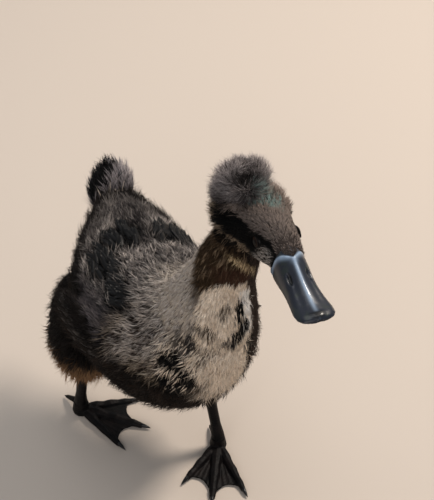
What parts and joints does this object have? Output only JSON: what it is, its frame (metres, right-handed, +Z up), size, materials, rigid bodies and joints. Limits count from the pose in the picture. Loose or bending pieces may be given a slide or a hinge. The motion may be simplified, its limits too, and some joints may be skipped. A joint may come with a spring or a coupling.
{
  "type": "duck figure",
  "caption": "Young crested duck, life size, walking with its left foot ahead: puff crest, broad bill, short folded wings, cocked tail and webbed feet.",
  "frame": {"origin": "on the floor under the middle of the whole bird's box", "axes": "-Y where the bill points, +X towards the bird's left side, +Z up"},
  "size_m": [0.14, 0.3216, 0.3364],
  "materials": {
    "down": "charcoal down with young feathers",
    "crest_down": "loose grey-black down",
    "feather": "flat vanes, slightly glossy",
    "bill": "smooth slate-black horn",
    "eye": "wet and dark",
    "leg_skin": "scaled dark skin"
  },
  "bodies": {
    "root": {"torso": "down", "neck": "down", "head": "down", "thigh_left": "down", "thigh_right": "down", "crest": "crest_down", "tail": "feather", "wing_left": "feather", "wing_right": "feather", "bill_upper": "bill", "bill_lower": "bill", "eye_left": "eye", "eye_right": "eye", "shank_left": "leg_skin", "shank_right": "leg_skin", "foot_left": "leg_skin", "foot_right": "leg_skin"}
  },
  "joints": []
}
